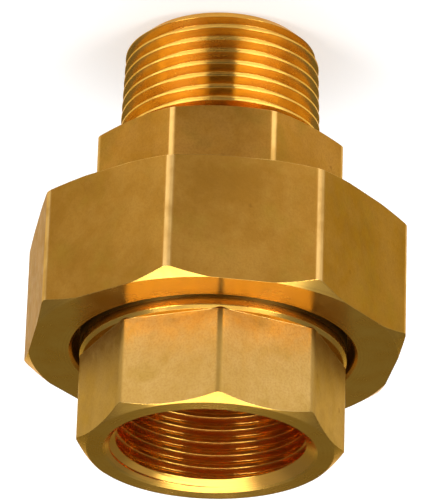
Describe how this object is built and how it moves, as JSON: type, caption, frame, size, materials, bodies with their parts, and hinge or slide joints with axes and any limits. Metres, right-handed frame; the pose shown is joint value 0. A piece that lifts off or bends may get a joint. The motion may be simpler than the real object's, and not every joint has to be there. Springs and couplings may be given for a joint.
{
  "type": "pipe union",
  "caption": "Straight pipe union with a tapered male thread and a female thread, drawn together by a loose octagonal nut over a flat gasket.",
  "frame": {"origin": "centre of the male end's tip face", "axes": "+Z along the pipe axis, from the male thread's tip towards the female mouth"},
  "size_m": [0.0496, 0.0496, 0.0584],
  "materials": {
    "brass_male_end": "sand-blasted wrench flats, bright machined threads and faces",
    "brass_union_nut": "sand-blasted flats, bright machined end faces and chamfers",
    "brass_female_end": "sand-blasted wrench flats, bright machined mouth and thread",
    "gasket_rubber": "smooth matte black rubber sheet"
  },
  "bodies": {
    "male_end": {"male_end": "brass_male_end"},
    "gasket": {"flat_gasket": "gasket_rubber"},
    "nut": {"union_nut": "brass_union_nut"},
    "female_end": {"female_end": "brass_female_end"}
  },
  "joints": [
    {"name": "union_travel", "type": "slide", "parent": "male_end", "child": "gasket", "axis": [0, 0, 1], "range_m": [0, 0.0082]},
    {"name": "nut_turn", "type": "hinge", "parent": "gasket", "child": "nut", "pos_m": [0, 0, 0.036], "axis": [0, 0, 1], "range_deg": [0, 1260]},
    {"name": "female_end_swivel", "type": "hinge", "parent": "gasket", "child": "female_end", "pos_m": [0, 0, 0.045], "axis": [0, 0, 1], "continuous": true}
  ],
  "couplings": [
    {"joint": "union_travel", "follows": "nut_turn", "m_per_rad": 0.00036749}
  ]
}
